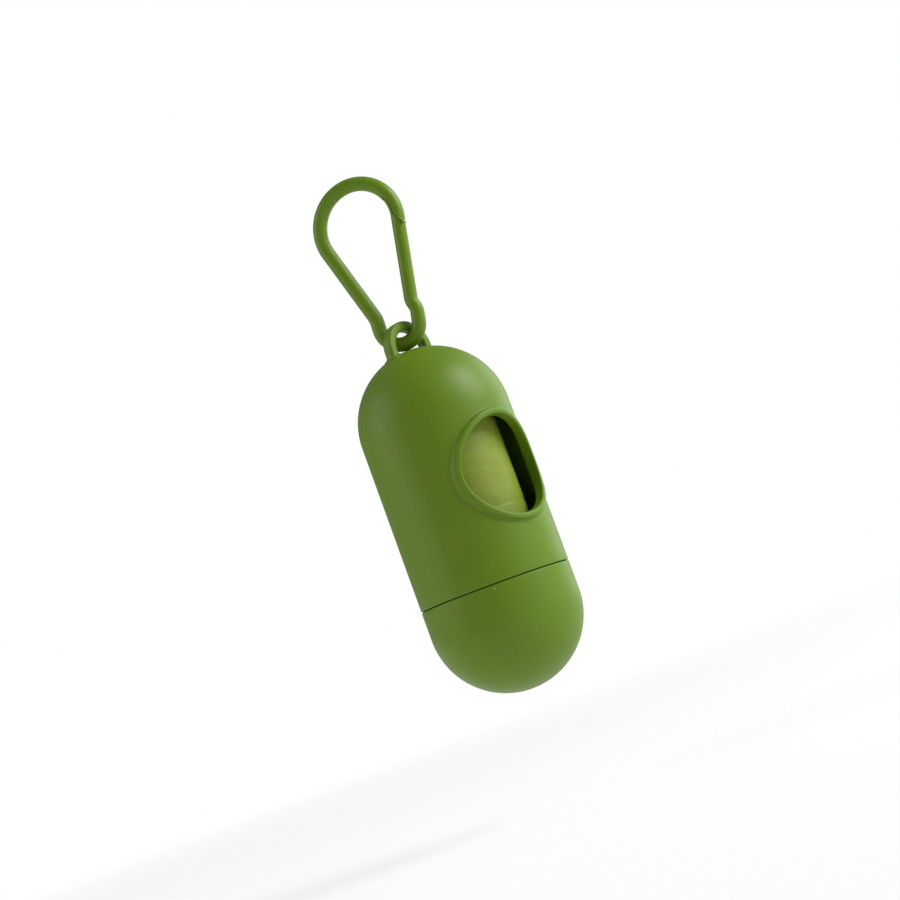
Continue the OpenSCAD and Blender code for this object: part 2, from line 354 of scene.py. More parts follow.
def make_case_shell(capsule, material):
    """The case: a tube with a dome and a round window in a raised rim, as one closed wall."""
    outside = capsule.radius
    inside = outside - capsule.wall
    seam = seam_height()
    dome = dome_height(capsule)
    window_z = seam + capsule.window_lift
    low = seam + 10.0 * MM
    columns, rows, rings = 64, 50, 10
    reach = math.radians(64)
    back = int(round((math.pi / reach - 1) * columns))
    back_turns = np.linspace(reach, 2 * math.pi - reach, back + 1)
    all_turns = np.concatenate([np.linspace(-reach, reach, columns + 1)[:-1], back_turns[:-1]])
    border, bearing = window_border(capsule, window_z, low, dome, columns, rows, reach)

    parts = MeshParts()
    profile = rim_profile(capsule)
    for distance, radius in (profile[0], profile[-1]):
        parts.add_grid(wall_round_window(capsule, window_z, border, bearing, distance, radius, rings))
        side = [(radius, z) for z in np.linspace(low, dome, rows + 1)]
        parts.add_grid(spun_grid(side, back_turns), wrap=False)
    parts.add_grid(np.array([around_window(window_z, d, r, bearing) for d, r in profile]))

    rim_z = CASE_LOW[2]
    edge = capsule.edge_round
    skirt = [(outside, z) for z in np.linspace(low, rim_z + edge, 12)[:-1]]
    skirt += arc_points((outside - edge, rim_z + edge), edge, 0, -90, 4)
    skirt += arc_points((inside + edge, rim_z + edge), edge, 270, 180, 4)
    skirt += [(inside, z) for z in np.linspace(rim_z + edge, low, 12)[1:]]
    parts.add_grid(spun_grid(skirt, all_turns))
    for radius in (outside, inside):
        grid = spun_grid(arc_points((0.0, dome), radius, 0, 90, 45)[:-1], all_turns)
        parts.add_grid(grid)
        parts.add_fan(grid[-1], (0.0, 0.0, dome + radius))
    return parts.to_object("case_shell", material)


def strap_ring(thickness, width, rounding, steps=6):
    """Corner-rounded outline of the loop's strap: (across, along Y) pairs."""
    half_t = thickness / 2 - rounding
    half_w = width / 2 - rounding
    points = []
    for sx, sy, start in ((1, 1, 0), (-1, 1, 90), (-1, -1, 180), (1, -1, 270)):
        points += arc_points((sx * half_t, sy * half_w), rounding, start, start + 90, steps)
    return np.array(points)


def make_case_loop(capsule, material):
    """The moulded loop: a strap in a half ring on two legs that flare where they meet the dome."""
    outside = capsule.radius
    dome = dome_height(capsule)
    middle = dome + outside + capsule.loop_lift
    mid_r = capsule.loop_inner + capsule.loop_thickness / 2
    ring = strap_ring(capsule.loop_thickness, capsule.loop_width, capsule.loop_round)
    flare = 0.9 * MM
    foot_z = dome + math.sqrt((outside - flare) ** 2 - (mid_r + capsule.loop_thickness / 2) ** 2)
    leg = np.linspace(foot_z, middle, 26)
    path = [((mid_r, z), (1.0, 0.0)) for z in leg[:-1]]
    for t in np.radians(np.linspace(0, 180, 73)):
        path.append(((mid_r * math.cos(t), middle + mid_r * math.sin(t)), (math.cos(t), math.sin(t))))
    path += [((-mid_r, z), (-1.0, 0.0)) for z in leg[::-1][1:]]
    grid = []
    for (x, z), (out_x, out_z) in path:
        section = np.stack([x + ring[:, 0] * out_x, ring[:, 1], z + ring[:, 0] * out_z], axis=-1)
        away = np.linalg.norm(section - np.array([0.0, 0.0, dome]), axis=1) - outside
        depth = np.clip(flare - away, 0.0, flare)
        grow = flare - np.sqrt(flare * flare - depth * depth)
        offset = section - np.array([x, 0.0, z])
        grid.append(section + offset / np.linalg.norm(offset, axis=1)[:, None] * grow[:, None])
    return closed_tube("case_loop", np.array(grid), material)


# Threads, swept along a helix by Geometry Nodes


def new_tree(name, inputs):
    """A geometry tree with named inputs: each a number that is its default, or None for a material."""
    kinds = {float: "NodeSocketFloat", int: "NodeSocketInt", type(None): "NodeSocketMaterial"}
    tree = bpy.data.node_groups.new(name, "GeometryNodeTree")
    tree.interface.new_socket("Geometry", in_out="OUTPUT", socket_type="NodeSocketGeometry")
    for label, value in inputs.items():
        socket = tree.interface.new_socket(label, in_out="INPUT", socket_type=kinds[type(value)])
        if value is not None:
            socket.default_value = value
    return tree


class NodeBench:
    """Adds nodes to a tree and joins them with few words. An input is a value or a socket."""

    def __init__(self, tree):
        self.tree = tree
        self.column = 0

    def node(self, kind, inputs=None, **settings):
        """A node of that kind."""
        made = self.tree.nodes.new(kind)
        made.location = (self.column * 190, -60 * (self.column % 4))
        self.column += 1
        for key, value in settings.items():
            setattr(made, key, value)
        for key, value in (inputs or {}).items():
            if isinstance(value, bpy.types.NodeSocket):
                self.tree.links.new(value, made.inputs[key])
            else:
                made.inputs[key].default_value = value
        return made

    def value(self, kind, inputs=None, **settings):
        """The first output of a new node."""
        return self.node(kind, inputs, **settings).outputs[0]

    def maths(self, operation, first, second):
        """The result of a sum."""
        return self.value("ShaderNodeMath", {0: first, 1: second}, operation=operation)

    def noise(self, place, scale, detail, **more):
        """A noise pattern."""
        return self.value("ShaderNodeTexNoise", {"Vector": place, "Scale": scale, "Detail": detail, **more})

    def ranged(self, value, low, high, start, end, **settings):
        """A value that runs from start to end while another runs from low to high."""
        inputs = {"Value": value, "From Min": low, "From Max": high, "To Min": start, "To Max": end}
        return self.node("ShaderNodeMapRange", inputs, **settings).outputs["Result"]

    def mixed(self, share, first, second):
        """A colour between two, by a share."""
        return self.node("ShaderNodeMix", {0: share, 6: first, 7: second}, data_type="RGBA").outputs[2]

    def bump(self, height, strength, distance):
        """A normal that follows a height."""
        return self.value("ShaderNodeBump", {"Strength": strength, "Distance": distance, "Height": height})

    def spiral(self, turns, first, last, height):
        """A curve that winds from one radius to another."""
        return self.value("GeometryNodeCurveSpiral", {
            "Resolution": 72, "Rotations": turns, "Start Radius": first, "End Radius": last, "Height": height,
        })

    def link(self, source, target):
        """Joins two sockets."""
        self.tree.links.new(source, target)

    def end(self, geometry, material):
        """Makes instances real, sets their material and ends the tree."""
        real = self.value("GeometryNodeRealizeInstances", {"Geometry": geometry})
        coated = self.value("GeometryNodeSetMaterial", {"Geometry": real, "Material": material})
        self.node("NodeGroupOutput", {"Geometry": coated})


def thread_tree():
    """Helical ridges: a rounded bar swept along a helix, repeated for each start."""
    tree = new_tree("thread_ridges", {
        "Radius": 17.0 * MM, "Lead": 6.0 * MM, "Turns": 0.9, "Base": 0.0, "Half Width": 0.7 * MM,
        "Starts": 2, "Material": None,
    })
    bench = NodeBench(tree)
    given = bench.node("NodeGroupInput").outputs
    height = bench.maths("MULTIPLY", given["Lead"], given["Turns"])
    helix = bench.spiral(given["Turns"], given["Radius"], given["Radius"], height)
    share = bench.value("GeometryNodeSplineParameter")
    nearest = bench.maths("MINIMUM", share, bench.maths("SUBTRACT", 1.0, share))
    ease = bench.ranged(nearest, 0.0, 0.07, 0.05, 1.0)
    eased = bench.value("GeometryNodeSetCurveRadius", {"Curve": helix, "Radius": ease})
    ridge = bench.value("GeometryNodeCurvePrimitiveCircle", {"Resolution": 14, "Radius": given["Half Width"]})
    swept = bench.node("GeometryNodeCurveToMesh", {"Curve": eased, "Profile Curve": ridge, "Fill Caps": True})
    if "Scale" in swept.inputs:
        bench.link(ease, swept.inputs["Scale"])
    lift = bench.value("ShaderNodeCombineXYZ", {"Z": given["Base"]})
    starts = bench.value("GeometryNodeMeshLine", {
        "Count": given["Starts"], "Start Location": lift, "Offset": (0.0, 0.0, 0.0),
    })
    step = bench.maths("DIVIDE", 2 * math.pi, given["Starts"])
    turn = bench.maths("MULTIPLY", bench.value("GeometryNodeInputIndex"), step)
    copies = bench.value("GeometryNodeInstanceOnPoints", {
        "Points": starts, "Instance": swept.outputs["Mesh"],
        "Rotation": bench.value("ShaderNodeCombineXYZ", {"Z": turn}),
    })
    bench.end(copies, given["Material"])
    return tree


def grown_object(name, tree, values, smooth_angle=50.0):
    """Runs a geometry tree with those inputs and keeps its result as a plain mesh."""
    seed_mesh = bpy.data.meshes.new(name + "_seed")
    holder = link_object(name + "_seed", seed_mesh)
    modifier = holder.modifiers.new("Grow", "NODES")
    modifier.node_group = tree
    for item in tree.interface.items_tree:
        if item.item_type == "SOCKET" and item.in_out == "INPUT":
            modifier[item.identifier] = values[item.name]
    graph = bpy.context.evaluated_depsgraph_get()
    mesh = bpy.data.meshes.new_from_object(holder.evaluated_get(graph))
    mesh.name = name
    bpy.data.objects.remove(holder)
    bpy.data.meshes.remove(seed_mesh)
    outward(mesh, smooth_angle)
    return link_object(name, mesh)


def make_thread(name, capsule, radius, base, tree, material):
    """Two ridges round a wall of that radius."""
    return grown_object(name, tree, {
        "Radius": radius, "Lead": capsule.thread_lead, "Turns": capsule.thread_turns, "Base": base,
        "Half Width": capsule.ridge_height, "Starts": 2, "Material": material,
    })


# Cap


def cap_profile(capsule):
    """Cross-section of the cap from the middle of its outside to the middle of its inside."""
    outside = capsule.radius
    inside = outside - capsule.wall
    seam = seam_height()
    round_z = CAP_LOW[2] + outside
    collar_out = inside - capsule.thread_room
    collar_in = collar_out - capsule.collar_wall
    edge = capsule.edge_round
    lip = 0.35 * MM
    top = seam + capsule.collar_height
    ring_low = seam - capsule.collar_root
    points = arc_points((0.0, round_z), outside, -90, 0, 48)[1:]
    points += [(outside, z) for z in np.linspace(round_z, seam - edge, 10)[1:-1]]
    points += arc_points((outside - edge, seam - edge), edge, 0, 90, 4)
    points += arc_points((collar_out + edge, seam + edge), edge, 270, 180, 4)
    points += [(collar_out, z) for z in np.linspace(seam + 1.0 * MM, top - 1.0 * MM, 6)]
    points += arc_points((collar_out - lip, top - lip), lip, 0, 90, 4)
    points += arc_points((collar_in + lip, top - lip), lip, 90, 180, 4)
    points += [(collar_in, z) for z in np.linspace(top - 1.0 * MM, ring_low, 10)]
    points += [(inside, ring_low - capsule.collar_slope)]
    points += arc_points((0.0, round_z), inside, 0, -90, 40)[:-1]
    return points


def make_cap_shell(capsule, material):
    """The cap: a round-ended cup with a collar, as one closed wall."""
    grid = spun_grid(cap_profile(capsule), ring_angles(180))
    parts = MeshParts(grid)
    parts.add_fan(grid[0], (0.0, 0.0, CAP_LOW[2]))
    parts.add_fan(grid[-1], (0.0, 0.0, CAP_LOW[2] + capsule.wall))
    return parts.to_object("cap_shell", material)


def make_cap_nib(capsule, material):
    """The small nib that the mould's inlet leaves under the seam."""
    middle_z = seam_height() - 1.1 * MM
    bearing = math.radians(-137)
    profile = [(0.85, -0.25), (0.72, 0.0), (0.58, 0.14), (0.46, 0.24), (0.30, 0.30), (0.16, 0.27)]
    turns = ring_angles(28)
    grid = []
    for radius, rise in profile:
        across = radius * MM * np.cos(turns)
        out = capsule.radius + rise * MM - (across * across) / (2 * capsule.radius)
        grid.append(np.stack([out, across, middle_z + radius * MM * np.sin(turns)], axis=-1))
    turn = np.array(Matrix.Rotation(bearing, 3, "Z"))
    return closed_tube("cap_nib", np.array(grid) @ turn.T, material)


# Clip


def turn_of(point, centre=(0.0, 0.0)):
    """Angle of a point round a centre."""
    return math.atan2(point[1] - centre[1], point[0] - centre[0])


def unit(vector):
    """The vector at length 1."""
    return vector / np.linalg.norm(vector)


def round_point(centre, radius, turn):
    """The point of a plane circle at that angle."""
    return np.array([centre[0] + radius * math.cos(turn), centre[1] + radius * math.sin(turn)])


def tangent_point(point, centre, radius, side):
    """Where a line from point touches a circle; side 1 has the circle on its right."""
    spread = math.acos(radius / np.linalg.norm(np.subtract(point, centre)))
    return round_point(centre, radius, turn_of(point, centre) - side * spread)


def line_stations(start, end, spacing=0.35 * MM):
    """Points from start to end, without the end."""
    start = np.asarray(start)
    end = np.asarray(end)
    steps = max(1, int(round(np.linalg.norm(end - start) / spacing)))
    return [start + (end - start) * i / steps for i in range(steps)]


def arc_stations(centre, radius, start, end, spacing=0.35 * MM):
    """Points along an arc between two angles in radians, without the end."""
    steps = max(2, int(round(abs(end - start) * radius / spacing)))
    return [round_point(centre, radius, start + (end - start) * i / steps) for i in range(steps)]


def bend_stations(before, corner, after, radius):
    """Where the arc that rounds a corner starts, its points, and where it ends."""
    into = unit(np.subtract(corner, before))
    out = unit(np.subtract(after, corner))
    turn = math.atan2(into[0] * out[1] - into[1] * out[0], float(np.dot(into, out)))
    back = radius * math.tan(abs(turn) / 2)
    start = np.asarray(corner) - into * back
    centre = start + math.copysign(radius, turn) * np.array([-into[1], into[0]])
    first = turn_of(start, centre)
    return start, arc_stations(centre, radius, first, first + turn), np.asarray(corner) + out * back


class ClipPlan:
    """The clip's centreline in its own plane: x across, y up, from the eye's middle."""

    def __init__(self, clip):
        self.clip = clip
        self.crown_c = np.array([-clip.shift, clip.span - clip.crown])
        self.shoulder_c = np.array([-clip.shift, clip.span - clip.shoulder])
        self.knee = np.array([-clip.knee_side, clip.knee_rise])
        across = Vector((0, 0, 1)).cross(CLIP_NORMAL).normalized() * -1.0
        self.across = np.array(across)
        offset = ROOT - EYE
        self.root = np.array([offset.dot(across), offset.z])
        self.bend_at = self.root + np.array([-clip.bend_in, clip.bend_rise])
        self.spine_top = tangent_point(self.knee, self.shoulder_c, clip.shoulder, 1)
        self.eye_left = tangent_point(self.knee, (0.0, 0.0), clip.eye, -1)
        self.eye_right = tangent_point(self.root, (0.0, 0.0), clip.eye, 1)
        self.gate_top = tangent_point(self.bend_at, self.crown_c, clip.crown, -1)

    def butt_turn(self):
        """Angle round the eye where the frame's bar hands over to the gate's."""
        return turn_of(self.eye_right) - math.radians(24)

    def split_level(self, turn):
        """How far out from the centreline the slanted split lies at an angle of the crown."""
        clip = self.clip
        reach = clip.bar
        turns = [-clip.split_end, clip.split_slope / 2 - clip.split_end + clip.split_slope,
                 clip.split_start - clip.split_slope, clip.split_start]
        levels = [reach, -clip.split_offset, -clip.split_offset, -reach]
        return float(np.interp(turn, turns, levels))

    def to_frame(self, points):
        """Points (across, normal, up) of the clip's plane in the frame."""
        return points @ np.array([self.across, CLIP_NORMAL, (0.0, 0.0, 1.0)]) + np.array(EYE)


def soft_limit(value, limit, ease):
    """The larger of value and limit, with a rounded corner between them."""
    gap = value - limit
    return limit + 0.5 * (gap + np.sqrt(gap * gap + ease * ease))


def swept_bar(stations, radii, cuts, sides=56):
    """Rings round a centreline. cuts gives for each station None, or (level, keep): the ring
    keeps what lies outside (1) or inside (-1) that level from the centreline."""
    stations = np.array(stations)
    ahead = np.gradient(stations, axis=0, edge_order=2)
    ahead /= np.linalg.norm(ahead, axis=1)[:, None]
    turns = ring_angles(sides)
    grid = []
    for place, along, radius, cut in zip(stations, ahead, radii, cuts):
        out = np.array([along[1], -along[0]])
        level = radius * np.cos(turns)
        depth = radius * np.sin(turns)
        if cut is not None:
            limit, keep = cut
            level = keep * soft_limit(keep * level, keep * limit, 0.08 * MM)
        flat = place[None, :] + level[:, None] * out[None, :]
        grid.append(np.stack([flat[:, 0], depth, flat[:, 1]], axis=-1))
    return grid


def closed_bar(name, plan, grid, material, tip):
    """A closed tube of those rings; its end at index tip, 0 or -1, is softly rounded."""
    last = grid[tip]
    ahead = unit((last - grid[1 if tip == 0 else -2]).mean(axis=0))
    middle = last.mean(axis=0)
    reach = 0.6 * min(np.abs(last - middle).max(), 0.45 * MM)
    extra = [
        middle + (last - middle) * math.cos(t) + ahead * reach * math.sin(t) for t in np.radians((25, 50, 70))
    ]
    rings = extra[::-1] + grid if tip == 0 else grid + extra
    return closed_tube(name, plan.to_frame(np.array(rings)), material)


def make_clip_frame(clip, plan, material):
    """The frame: nose, crown, spine and eye as one bent round bar."""
    split_turn = -clip.split_end + math.radians(0.6)
    split_top = clip.split_start + math.radians(6)
    cut_top = clip.split_start + math.radians(4)
    stations = arc_stations(plan.crown_c, clip.crown, split_turn, split_top, FINE_STEP)
    stations += arc_stations(plan.crown_c, clip.crown, split_top, math.pi / 2)
    nose_count = len(stations)
    spine_turn = turn_of(plan.spine_top, plan.shoulder_c) + 2 * math.pi
    stations += arc_stations(plan.shoulder_c, clip.shoulder, math.pi / 2, spine_turn)
    start, bend, end = bend_stations(plan.spine_top, plan.knee, plan.eye_left, clip.bend)
    stations += line_stations(plan.spine_top, start) + bend
    stations += line_stations(end, plan.eye_left)
    butt = plan.butt_turn() + 2 * math.pi
    stations += arc_stations((0.0, 0.0), clip.eye, turn_of(plan.eye_left), butt, EYE_STEP)
    stations.append(round_point((0.0, 0.0), clip.eye, butt))
    cuts = [None] * len(stations)
    for i, place in enumerate(stations[:nose_count]):
        turn = turn_of(place, plan.crown_c)
        if turn < cut_top:
            cuts[i] = (plan.split_level(turn) + clip.play / 2, 1)
    grid = swept_bar(stations, [clip.bar] * len(stations), cuts)
    return closed_bar("clip_frame", plan, grid, material, 0)


def make_clip_gate(clip, plan, material):
    """The gate: from the eye's side over its thin root to the slanted tip under the nose."""
    right_turn = turn_of(plan.eye_right)
    stations = arc_stations((0.0, 0.0), clip.eye, plan.butt_turn(), right_turn, EYE_STEP)
    start, bend, end = bend_stations(plan.eye_right, plan.root, plan.bend_at, clip.bend)
    stations += line_stations(plan.eye_right, start, EYE_STEP) + bend
    start, bend_two, end_two = bend_stations(plan.root, plan.bend_at, plan.gate_top, clip.bend)
    stations += line_stations(end, start, EYE_STEP) + bend_two
    stations += line_stations(end_two, plan.gate_top, FINE_STEP)
    top_turn = turn_of(plan.gate_top, plan.crown_c)
    tip_turn = clip.split_start - math.radians(1.0)
    tip_first = len(stations)
    stations += arc_stations(plan.crown_c, clip.crown, top_turn, tip_turn, FINE_STEP)
    thick_below = 2.6 * MM
    taper = 3.2 * MM
    low_turn = -clip.split_end - math.radians(4)
    cuts = []
    radii = []
    for i, place in enumerate(stations):
        turn = turn_of(place, plan.crown_c)
        near_tip = place[1] > plan.crown_c[1] - clip.crown and turn > low_turn
        level = plan.split_level(turn) - clip.play / 2
        cuts.append((level, -1) if near_tip or i >= tip_first else None)
        share = min(1.0, max(0.0, (place[1] - plan.root[1] + thick_below) / taper))
        share = share * share * (3 - 2 * share)
        radii.append(clip.bar + (clip.gate - clip.bar) * share)
    return closed_bar("clip_gate", plan, swept_bar(stations, radii, cuts), material, -1)


# Bag roll


def film_tree():
    """One bag as wound: a thin strip of film swept along a flat spiral."""
    tree = new_tree("wound_film", {
        "Inner Radius": 7.5 * MM, "Outer Radius": 8.0 * MM, "Turns": 4.0, "Film": 0.07 * MM,
        "Width": 60.0 * MM, "Low": 0.0, "Ragged": 0.2 * MM, "Seed": 0.0, "Start Turn": 0.0, "Material": None,
    })
    bench = NodeBench(tree)
    given = bench.node("NodeGroupInput").outputs
    spiral = bench.spiral(given["Turns"], given["Inner Radius"], given["Outer Radius"], 0.0)
    strip = bench.value("GeometryNodeCurvePrimitiveQuadrilateral", {
        "Width": given["Film"], "Height": given["Width"],
    })
    upright = bench.value("GeometryNodeSetCurveNormal", {"Curve": spiral}, mode="Z_UP")
    swept = bench.value("GeometryNodeCurveToMesh", {
        "Curve": upright, "Profile Curve": strip, "Fill Caps": True,
    })
    noise = bench.value("ShaderNodeTexNoise", {
        "Vector": bench.value("GeometryNodeInputPosition"), "W": given["Seed"], "Scale": 300.0, "Detail": 2.0,
    }, noise_dimensions="4D")
    wave = bench.maths("MULTIPLY", bench.maths("SUBTRACT", noise, 0.5), given["Ragged"])
    lift = bench.maths("ADD", given["Low"], bench.maths("MULTIPLY", given["Width"], 0.5))
    offset = bench.value("ShaderNodeCombineXYZ", {"Z": bench.maths("ADD", lift, wave)})
    ragged = bench.value("GeometryNodeSetPosition", {"Geometry": swept, "Offset": offset})
    spin = bench.value("ShaderNodeCombineXYZ", {"Z": given["Start Turn"]})
    turned = bench.value("GeometryNodeTransform", {"Geometry": ragged, "Rotation": spin})
    bench.end(turned, given["Material"])
    return tree


def make_inner_bag(number, roll, tree, material):
    """One inner bag: its film wound in several turns, edges a little uneven."""
    low, high = BAG_BOXES[number]
    inner_box = BAG_BOXES[number + 1] if number + 1 < len(BAGS) else (TUBE_LOW, TUBE_HIGH)
    inner = inner_box[1][0] + roll.film
    outer = high[0] - roll.film
    return grown_object(BAGS[number] + "_film", tree, {
        "Inner Radius": inner, "Outer Radius": outer, "Turns": max(1.0, (outer - inner) / roll.layer),
        "Film": roll.film, "Width": high[2] - low[2] - roll.ragged, "Low": low[2] + roll.ragged / 2,
        "Ragged": roll.ragged, "Seed": number * 1.7, "Start Turn": number * 2.4, "Material": material,
    }, 40.0)


def film_wave(turn, height, seed):
    """Shallow wrinkles of wound film: long folds along the roll with a slight slant."""
    rng = np.random.default_rng(seed)
    wave = np.zeros(np.broadcast(turn, height).shape)
    for _ in range(9):
        across = rng.integers(2, 11)
        slant = rng.uniform(-40, 40)
        phase = rng.uniform(0, 2 * math.pi)
        wave += rng.uniform(0.3, 1.0) * np.sin(across * turn + slant * height + phase) / across
    return wave


def make_outer_bag(roll, material):
    """The outermost bag: two turns of film with soft wrinkles, a fold line and a free edge."""
    low, high = BAG_BOXES[0]
    inner = BAG_BOXES[1][1][0] + 0.03 * MM
    outer = high[0] - 0.02 * MM
    turns, steps, rows = 2.0, 300, 160
    share = np.linspace(0.0, 1.0, steps + 1)[:, None]
    height = np.linspace(0.0, 1.0, rows + 1)[None, :]
    free_edge = math.radians(150)
    turn = free_edge - 2 * math.pi * turns * (1 - share) + 0.0 * height
    margin = 0.25 * MM
    z = low[2] + margin + height * (high[2] - low[2] - 2 * margin)
    radius = inner + roll.film + (outer - inner - 0.12 * MM) * share
    radius = radius + 0.035 * MM * film_wave(turn, z, 4)
    fold_z = seam_height() + 18.6 * MM
    radius = radius - 0.16 * MM * np.exp(-np.abs(z - fold_z) / (0.28 * MM))
    radius = np.clip(radius, inner + roll.film, outer - 0.002 * MM)
    z = z + 0.1 * MM * np.sin(5 * turn) * (np.abs(height - 0.5) * 2) ** 8
    outside = round_axis(radius, turn, z)
    inside = round_axis(radius - roll.film, turn, z)
    parts = MeshParts()
    parts.add_grid(outside, wrap=False)
    parts.add_grid(inside, wrap=False)
    for cut in (np.s_[0, :], np.s_[-1, :], np.s_[:, 0], np.s_[:, -1]):
        parts.add_grid(np.array([outside[cut], inside[cut]]), wrap=False)
    return parts.to_object(BAGS[0] + "_film", material)


def make_roll_tube(roll, material):
    """The cardboard tube, wound from a strip of paper that leaves a spiral step."""
    outer = TUBE_HIGH[0]
    bore = outer - 1.0 * MM
    low, high = TUBE_LOW[2], TUBE_HIGH[2]
    turns = ring_angles(120)
    pitch = 34.0 * MM
    edge = 0.2 * MM

    def wound(radius, z, sign):
        """A ring of the paper's surface, with the strip's edge as a small step."""
        phase = (z / pitch + turns / (2 * math.pi)) % 1.0
        step = np.clip((phase - 0.02) / 0.012, 0, 1) * np.clip((0.98 - phase) / 0.012, 0, 1)
        return round_axis(radius - sign * roll.paper * 0.5 * (1 - step), turns, z)

    heights = np.linspace(low + edge, high - edge, 150)
    grid = [wound(outer, z, 1) for z in heights]
    grid += [round_axis(radius, turns, high) for radius in (outer - edge, bore + edge)]
    grid += [wound(bore, z, -1) for z in heights[::-1]]
    grid += [round_axis(radius, turns, low) for radius in (bore + edge, outer - edge)]
    grid.append(grid[0])
    return MeshParts(np.array(grid)).to_object("roll_tube", material)


# Materials


def new_material(name, fixed):
    """A material, its bench, its shader with those fixed values, and the Object coordinates."""
    material = bpy.data.materials.new(name)
    material.use_nodes = True
    material.node_tree.nodes.clear()
    bench = NodeBench(material.node_tree)
    shader = bench.node("ShaderNodeBsdfPrincipled", fixed)
    bench.node("ShaderNodeOutputMaterial", {"Surface": shader.outputs["BSDF"]})
    return material, bench, shader, bench.node("ShaderNodeTexCoord").outputs["Object"]


def scaled(rgb, factor):
    """A colour made lighter or darker."""
    return tuple(min(1.0, c * factor) for c in rgb[:3]) + (1.0,)


def milky(shine, weight, reach):
    """Fixed values of a surface that light enters a little."""
    return {"Specular IOR Level": shine, "Subsurface Weight": weight, "Subsurface Radius": reach,
            "Subsurface Scale": 1.0}


def moulded_plastic(name, rgb, roughness, grain_scale):
    """Satin moulded plastic: a fine grain, faint clouds, a few hairline scuffs, polished patches."""
    glow_reach = (0.0006, 0.0012, 0.0003)
    material, bench, shader, place = new_material(name, milky(0.30, 0.06, glow_reach))
    clouds = bench.noise(place, 55.0, 3.0, Roughness=0.6)
    base = bench.mixed(clouds, scaled(rgb, 0.93), scaled(rgb, 1.07))
    specks = bench.ranged(bench.noise(place, 2600.0, 2.0), 0.3, 0.7, 0.0, 0.16)
    bench.link(bench.mixed(specks, base, scaled(rgb, 1.25)), shader.inputs["Base Color"])
    patches = bench.noise(place, 140.0, 4.0)
    gloss = bench.ranged(patches, 0.3, 0.7, roughness - 0.035, roughness + 0.035)
    bench.link(gloss, shader.inputs["Roughness"])
    stretch = bench.value("ShaderNodeMapping", {
        "Vector": place, "Rotation": (0.5, 0.9, 0.3), "Scale": (260.0, 260.0, 22.0),
    })
    scuffs = bench.ranged(bench.noise(stretch, 1.0, 1.0), 0.70, 0.78, 0.0, 1.0)
    grain = bench.noise(place, grain_scale, 3.0)
    height = bench.maths("ADD", grain, bench.maths("MULTIPLY", scuffs, -0.08))
    bench.link(bench.bump(height, 0.06, 0.00005), shader.inputs["Normal"])
    return material


def bag_film(name, rgb):
    """Thin milky film with fine lines along the web and a tangle of small creases."""
    glow_reach = (0.0012, 0.0014, 0.0006)
    material, bench, shader, place = new_material(name, milky(0.28, 0.12, glow_reach))
    along = bench.value("ShaderNodeMapping", {"Vector": place, "Scale": (60.0, 60.0, 1400.0)})
    lines = bench.noise(along, 1.0, 3.0)
    clouds = bench.noise(place, 180.0, 4.0)
    base = bench.mixed(lines, scaled(rgb, 0.66), scaled(rgb, 1.28))
    bench.link(bench.mixed(clouds, base, scaled(rgb, 1.10)), shader.inputs["Base Color"])
    creases = bench.value("ShaderNodeTexVoronoi", {"Vector": place, "Scale": 260.0},
                          feature="DISTANCE_TO_EDGE")
    edge = bench.ranged(creases, 0.0, 0.12, 1.0, 0.0)
    height = bench.maths("ADD", lines, bench.maths("MULTIPLY", edge, 0.35))
    bench.link(bench.bump(height, 0.35, 0.00012), shader.inputs["Normal"])
    bench.link(bench.ranged(clouds, 0.3, 0.7, 0.36, 0.5), shader.inputs["Roughness"])
    return material


def tube_cardboard(name, rgb):
    """Grey-brown paper with short fibres and darker flecks."""
    material, bench, shader, place = new_material(name, {"Roughness": 0.88})
    lay = bench.value("ShaderNodeMapping", {"Vector": place, "Scale": (1800.0, 1800.0, 260.0)})
    fibres = bench.noise(lay, 1.0, 6.0)
    flecks = bench.node("ShaderNodeTexVoronoi", {"Vector": place, "Scale": 900.0}).outputs[0]
    base = bench.mixed(fibres, scaled(rgb, 0.75), scaled(rgb, 1.2))
    toned = bench.mixed(bench.ranged(flecks, 0.05, 0.16, 0.45, 0.0), base, scaled(rgb, 0.45))
    bench.link(toned, shader.inputs["Base Color"])
    bench.link(bench.bump(fibres, 0.4, 0.00012), shader.inputs["Normal"])
    return material


def pale_floor(name, rgb):
    """The floor: pale paper that reads white to the camera and keeps a soft shadow."""
    material, bench, shader, place = new_material(name, {"Roughness": 0.9})
    tooth = bench.noise(place, 400.0, 3.0)
    bench.link(bench.mixed(tooth, scaled(rgb, 0.98), scaled(rgb, 1.02)), shader.inputs["Base Color"])
    path = bench.node("ShaderNodeLightPath").outputs
    seen = bench.maths("MAXIMUM", path["Is Camera Ray"], path["Is Glossy Ray"])
    reach = bench.node("ShaderNodeVectorMath", {0: place}, operation="LENGTH").outputs["Value"]
    level = bench.ranged(reach, 0.25, 0.9, 0.70, 1.0, interpolation_type="SMOOTHSTEP")
    mix = bench.value("ShaderNodeMixShader", {
        0: bench.maths("MULTIPLY", seen, level),
        1: shader.outputs["BSDF"],
        2: bench.value("ShaderNodeEmission", {"Color": WHITE, "Strength": 1.0}),
    })
    output = next(n for n in material.node_tree.nodes if n.type == "OUTPUT_MATERIAL")
    bench.link(mix, output.inputs["Surface"])
    return material


def ready_material(name):
    """The named material, made when it is first asked for."""
    if name in bpy.data.materials:
        return bpy.data.materials[name]
    finish = bpy.context.scene.dispenser_finish
    makers = {
        "case_green_plastic": (moulded_plastic, finish.case_green, 0.46, 1500.0),
        "clip_green_plastic": (moulded_plastic, finish.clip_green, 0.40, 1800.0),
        "bag_film_green": (bag_film, finish.film_green),
        "tube_cardboard": (tube_cardboard, finish.cardboard),
        "floor_paper": (pale_floor, finish.backdrop),
    }
    make, *settings = makers[name]
    return make(name, *settings)


# Operators


